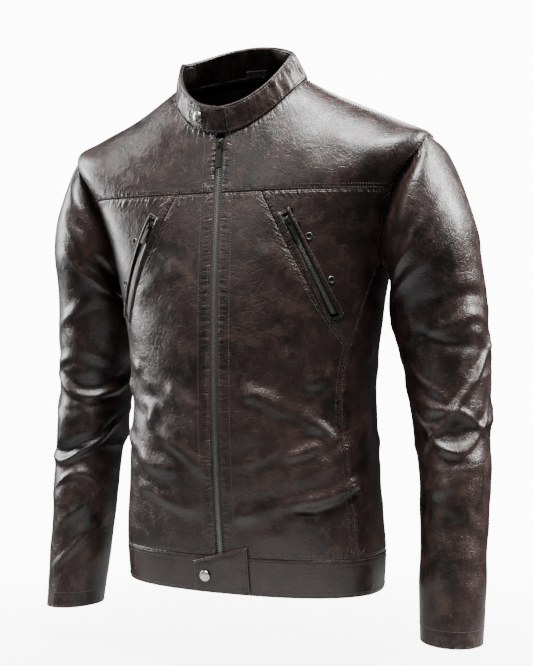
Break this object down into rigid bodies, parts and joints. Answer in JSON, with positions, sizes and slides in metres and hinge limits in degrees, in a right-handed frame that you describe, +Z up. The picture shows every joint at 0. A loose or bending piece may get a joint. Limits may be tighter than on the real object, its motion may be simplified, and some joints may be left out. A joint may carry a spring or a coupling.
{
  "type": "leather riding jacket",
  "caption": "Leather riding jacket filled out as if worn: snapped stand collar, full front zip, yokes, slanted zipped chest pockets, snapped hem tab and two-piece sleeves.",
  "frame": {"origin": "the point between the wearer's shoulders that carries the jacket, 600 mm above the bottom of the hem on the centre plane", "axes": "+Z up, from hem to collar; +X to the wearer's left; -Y to the front"},
  "size_m": [0.6138, 0.2449, 0.7477],
  "materials": {
    "brown_hide": "dark brown, waxed, worn at the edges",
    "lining_cloth": "dark brown woven lining",
    "dark_metal": "blackened zip metal",
    "bright_metal": "satin snap metal"
  },
  "bodies": {
    "jacket_body": {"left_front_panel": "brown_hide", "left_front_outer_panel": "brown_hide", "left_side_panel": "brown_hide", "left_front_yoke": "brown_hide", "left_hem_band": "brown_hide", "left_pocket_welt": "brown_hide", "left_pocket_zip_tape": "lining_cloth", "left_pocket_zip_teeth": "dark_metal", "left_pocket_bag": "lining_cloth", "left_eyelet_1": "dark_metal", "left_eyelet_2": "dark_metal", "right_front_panel": "brown_hide", "right_front_outer_panel": "brown_hide", "right_side_panel": "brown_hide", "right_front_yoke": "brown_hide", "right_hem_band": "brown_hide", "right_pocket_welt": "brown_hide", "right_pocket_zip_tape": "lining_cloth", "right_pocket_zip_teeth": "dark_metal", "right_pocket_bag": "lining_cloth", "right_eyelet_1": "dark_metal", "right_eyelet_2": "dark_metal", "back_panel": "brown_hide", "back_yoke": "brown_hide", "back_hem_band": "brown_hide", "collar_outer": "brown_hide", "collar_facing": "brown_hide", "collar_snap_stud": "bright_metal", "hem_snap_stud": "bright_metal", "left_body_lining": "lining_cloth", "right_body_lining": "lining_cloth", "back_body_lining": "lining_cloth", "hanger_loop": "lining_cloth", "main_zip_tape_left": "lining_cloth", "main_zip_tape_right": "lining_cloth", "main_zip_teeth_left": "dark_metal", "main_zip_teeth_right": "dark_metal", "main_zip_box": "dark_metal"},
    "main_slider": {"main_zip_slider": "dark_metal"},
    "main_pull": {"main_zip_pull": "dark_metal"},
    "left_pocket_slider": {"left_pocket_zip_slider": "dark_metal"},
    "left_pocket_pull": {"left_pocket_zip_pull": "dark_metal"},
    "right_pocket_slider": {"right_pocket_zip_slider": "dark_metal"},
    "right_pocket_pull": {"right_pocket_zip_pull": "dark_metal"},
    "collar_tab": {"collar_tab": "brown_hide", "collar_snap_cap": "bright_metal"},
    "hem_tab": {"hem_tab": "brown_hide", "hem_snap_cap": "bright_metal"},
    "left_upper_arm": {"left_upper_sleeve": "brown_hide", "left_upper_sleeve_lining": "lining_cloth"},
    "left_forearm": {"left_lower_sleeve": "brown_hide", "left_lower_sleeve_lining": "lining_cloth"},
    "right_upper_arm": {"right_upper_sleeve": "brown_hide", "right_upper_sleeve_lining": "lining_cloth"},
    "right_forearm": {"right_lower_sleeve": "brown_hide", "right_lower_sleeve_lining": "lining_cloth"}
  },
  "joints": [
    {"name": "main_zip_travel", "type": "hinge", "parent": "jacket_body", "child": "main_slider", "pos_m": [0, 1.527, -0.295], "axis": [1, 0, 0], "range_deg": [0, 16]},
    {"name": "main_pull_swing", "type": "hinge", "parent": "main_slider", "child": "main_pull", "pos_m": [0, -0.07556, -0.04367], "axis": [-1, 0, 0], "range_deg": [0, 110]},
    {"name": "left_pocket_zip_travel", "type": "hinge", "parent": "jacket_body", "child": "left_pocket_slider", "pos_m": [-0.01084, 0.20861, -0.18418], "axis": [0.8211, 0.3626, 0.4407], "range_deg": [0, 18.5]},
    {"name": "left_pocket_pull_swing", "type": "hinge", "parent": "left_pocket_slider", "child": "left_pocket_pull", "pos_m": [0.09499, -0.08264, -0.1417], "axis": [-0.8211, -0.3626, -0.4407], "range_deg": [0, 110]},
    {"name": "right_pocket_zip_travel", "type": "hinge", "parent": "jacket_body", "child": "right_pocket_slider", "pos_m": [0.01084, 0.20861, -0.18418], "axis": [0.8211, -0.3626, -0.4407], "range_deg": [0, 18.5]},
    {"name": "right_pocket_pull_swing", "type": "hinge", "parent": "right_pocket_slider", "child": "right_pocket_pull", "pos_m": [-0.09499, -0.08264, -0.1417], "axis": [-0.8211, 0.3626, 0.4407], "range_deg": [0, 110]},
    {"name": "collar_tab_lift", "type": "hinge", "parent": "jacket_body", "child": "collar_tab", "pos_m": [0.00936, -0.07476, -0.02346], "axis": [-0.0394, -0.2216, 0.9743], "range_deg": [0, 100]},
    {"name": "hem_tab_lift", "type": "hinge", "parent": "jacket_body", "child": "hem_tab", "pos_m": [0.04225, -0.0664, -0.59453], "axis": [0.0004, -0.1651, 0.9863], "range_deg": [0, 100]},
    {"name": "left_arm_raise", "type": "hinge", "parent": "jacket_body", "child": "left_upper_arm", "pos_m": [0.243, 0.006, -0.036], "axis": [0, -1, 0], "range_deg": [0, 45]},
    {"name": "left_elbow_bend", "type": "hinge", "parent": "left_upper_arm", "child": "left_forearm", "pos_m": [0.25491, -0.00018, -0.34423], "axis": [-1, 0, 0], "range_deg": [0, 60]},
    {"name": "right_arm_raise", "type": "hinge", "parent": "jacket_body", "child": "right_upper_arm", "pos_m": [-0.243, 0.006, -0.036], "axis": [0, 1, 0], "range_deg": [0, 45]},
    {"name": "right_elbow_bend", "type": "hinge", "parent": "right_upper_arm", "child": "right_forearm", "pos_m": [-0.25491, -0.00018, -0.34423], "axis": [-1, 0, 0], "range_deg": [0, 60]}
  ]
}
